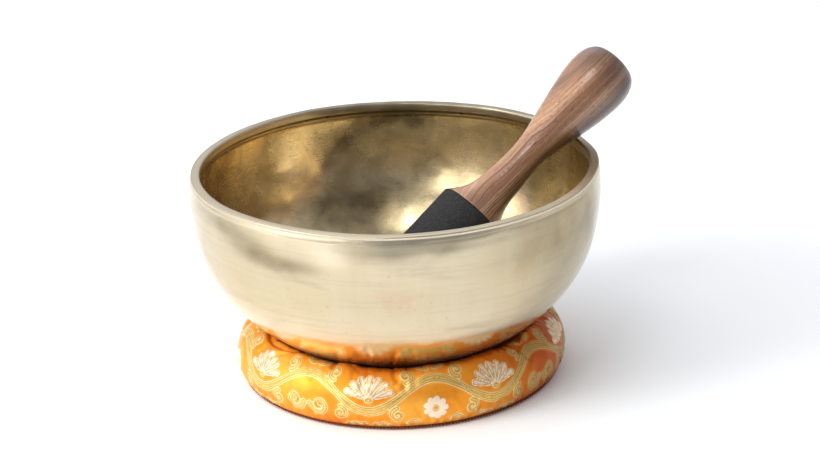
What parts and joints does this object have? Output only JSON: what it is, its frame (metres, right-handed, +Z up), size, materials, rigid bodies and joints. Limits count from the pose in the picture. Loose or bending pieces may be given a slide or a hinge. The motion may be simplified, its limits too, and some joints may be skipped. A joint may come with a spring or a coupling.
{
  "type": "singing bowl with cushion and mallet",
  "caption": "Hammered brass singing bowl standing on a round padded brocade cushion, with a turned wooden mallet leaning inside it over the rim.",
  "frame": {"origin": "centre of the cushion's underside, on the surface the set stands on", "axes": "+Z up along the bowl's axis; the mallet's bulb end leans out towards +X and a little towards +Y"},
  "size_m": [0.2441, 0.2224, 0.1664],
  "materials": {
    "bowl_brass": "hammered and brushed satin bronze with a pale champagne tone",
    "orange_brocade": "orange satin brocade with raised gold scrollwork",
    "base_cotton": "plain dark red cotton cloth",
    "wadding": "loose cotton stuffing",
    "seam_thread": "dark twisted sewing thread",
    "turned_rosewood": "oiled, straight-grained, reddish brown with dark streaks",
    "black_sleeve": "matte charcoal suede-faced leather"
  },
  "bodies": {
    "cushion": {"cushion_cover": "orange_brocade", "cushion_base_panel": "base_cotton", "cushion_filling": "wadding", "cushion_outer_seam": "seam_thread", "cushion_inner_seam": "seam_thread"},
    "bowl": {"singing_bowl": "bowl_brass"},
    "mallet": {"mallet_handle": "turned_rosewood", "mallet_sleeve": "black_sleeve"}
  },
  "joints": [
    {"name": "bowl_lift", "type": "slide", "parent": "cushion", "child": "bowl", "axis": [0, 0, 1], "range_m": [0, 0.15]},
    {"name": "mallet_lift", "type": "slide", "parent": "bowl", "child": "mallet", "axis": [0, 0, 1], "range_m": [0, 0.14]}
  ]
}
